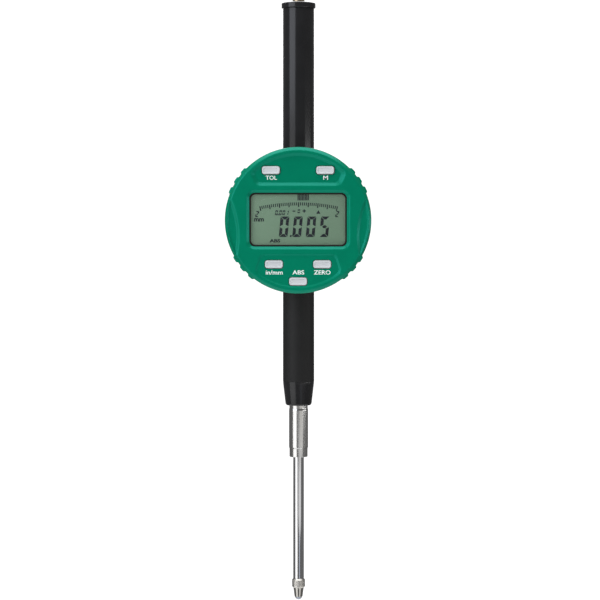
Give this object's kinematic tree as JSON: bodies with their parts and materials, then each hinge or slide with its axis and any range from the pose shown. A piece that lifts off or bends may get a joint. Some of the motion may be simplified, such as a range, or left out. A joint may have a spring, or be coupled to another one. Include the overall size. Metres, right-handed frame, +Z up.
{
  "type": "digital dial indicator",
  "caption": "Long-travel digital dial indicator with a turning round display unit, keys, housing tubes, clamping stem, sprung spindle, contact point and rear mounting lug.",
  "frame": {"origin": "on the spindle axis, at the middle of the clamping stem's full-diameter land", "axes": "+Z up along the spindle axis towards the end cap, the display faces -Y, +X to the right as seen from the front"},
  "size_m": [0.06, 0.0479, 0.2528],
  "materials": {
    "green_plastic": "moulded satin green plastic",
    "key_plastic": "light grey moulded keys, lightly grained",
    "clear_window": "clear flat window",
    "gasket_black": "dark frame",
    "lcd_glass": "grey-green liquid crystal glass",
    "white_film": "matt white film",
    "black_plastic": "fine grained black plastic",
    "black_anodised": "black satin coated aluminium tube",
    "satin_steel": "satin ground steel",
    "polished_steel": "polished hardened steel",
    "point_steel": "ground steel, fine knurl on the collar",
    "bronze": "sintered bronze",
    "plug_metal": "turned brass",
    "zinc_screw": "zinc plated",
    "black_steel": "blackened steel",
    "spring_steel": "spring steel wire",
    "black_rubber": "matt rubber",
    "cast_aluminium": "machined aluminium",
    "circuit_board": "green solder mask",
    "chip_plastic": "black moulding compound",
    "flex_film": "amber film",
    "connector_plastic": "natural nylon",
    "gold_contact": "plated contact strip",
    "coin_steel": "nickel plated can",
    "scale_glass": "etched linear scale"
  },
  "bodies": {
    "frame": {"frame_block": "cast_aluminium", "block_screws": "zinc_screw", "tube_set_screws": "black_steel", "rear_housing": "black_plastic", "back_cover": "black_plastic", "back_cover_screws": "zinc_screw", "stem": "satin_steel", "lower_bush": "bronze", "upper_bush": "bronze", "nose_collar": "black_anodised", "lower_barrel": "black_anodised", "upper_tube": "black_anodised", "end_cap": "black_anodised", "cap_plug": "plug_metal", "return_spring": "spring_steel", "bumper": "black_rubber", "reader_board": "circuit_board", "reader_chip": "chip_plastic", "reader_screws": "zinc_screw", "flex_cable": "flex_film", "friction_ring": "black_rubber"},
    "display": {"front_housing": "green_plastic", "window_gasket": "gasket_black", "lens": "clear_window", "lcd_panel": "lcd_glass", "lcd_reflector": "white_film", "lcd_holder": "chip_plastic", "zebra_strips": "black_rubber", "main_board": "circuit_board", "controller_chip": "chip_plastic", "tact_switches": "chip_plastic", "battery_contacts": "gold_contact", "flex_connector": "connector_plastic", "board_screws": "zinc_screw", "display_back": "black_plastic", "housing_screws": "zinc_screw", "stop_pin": "satin_steel", "retaining_ring": "spring_steel"},
    "key_tol": {"button_tol": "key_plastic"},
    "key_m": {"button_m": "key_plastic"},
    "key_unit": {"button_unit": "key_plastic"},
    "key_abs": {"button_abs": "key_plastic"},
    "key_zero": {"button_zero": "key_plastic"},
    "tray": {"battery_tray": "black_plastic", "coin_cell": "coin_steel"},
    "spindle": {"spindle": "polished_steel", "contact_point": "point_steel", "contact_ball": "polished_steel", "scale_carrier": "cast_aluminium", "scale_strip": "scale_glass", "guide_pin": "satin_steel", "carrier_set_screw": "black_steel"}
  },
  "joints": [
    {"name": "spindle_slide", "type": "slide", "parent": "frame", "child": "spindle", "axis": [0, 0, 1], "range_m": [0, 0.0508], "stiffness_N_per_m": 10, "springref_m": -0.15, "deforming": ["return_spring"]},
    {"name": "display_turn", "type": "hinge", "parent": "frame", "child": "display", "pos_m": [0, -0.0164, 0.0875], "axis": [0, 1, 0], "range_deg": [-90, 180]},
    {"name": "battery_tray_slide", "type": "slide", "parent": "display", "child": "tray", "axis": [1, 0, 0], "range_m": [0, 0.024]},
    {"name": "key_tol_press", "type": "slide", "parent": "display", "child": "key_tol", "axis": [0, 1, 0], "range_m": [0, 0.0005], "stiffness_N_per_m": 1500, "springref_m": -0.0003},
    {"name": "key_m_press", "type": "slide", "parent": "display", "child": "key_m", "axis": [0, 1, 0], "range_m": [0, 0.0005], "stiffness_N_per_m": 1500, "springref_m": -0.0003},
    {"name": "key_unit_press", "type": "slide", "parent": "display", "child": "key_unit", "axis": [0, 1, 0], "range_m": [0, 0.0005], "stiffness_N_per_m": 1500, "springref_m": -0.0003},
    {"name": "key_abs_press", "type": "slide", "parent": "display", "child": "key_abs", "axis": [0, 1, 0], "range_m": [0, 0.0005], "stiffness_N_per_m": 1500, "springref_m": -0.0003},
    {"name": "key_zero_press", "type": "slide", "parent": "display", "child": "key_zero", "axis": [0, 1, 0], "range_m": [0, 0.0005], "stiffness_N_per_m": 1500, "springref_m": -0.0003}
  ]
}
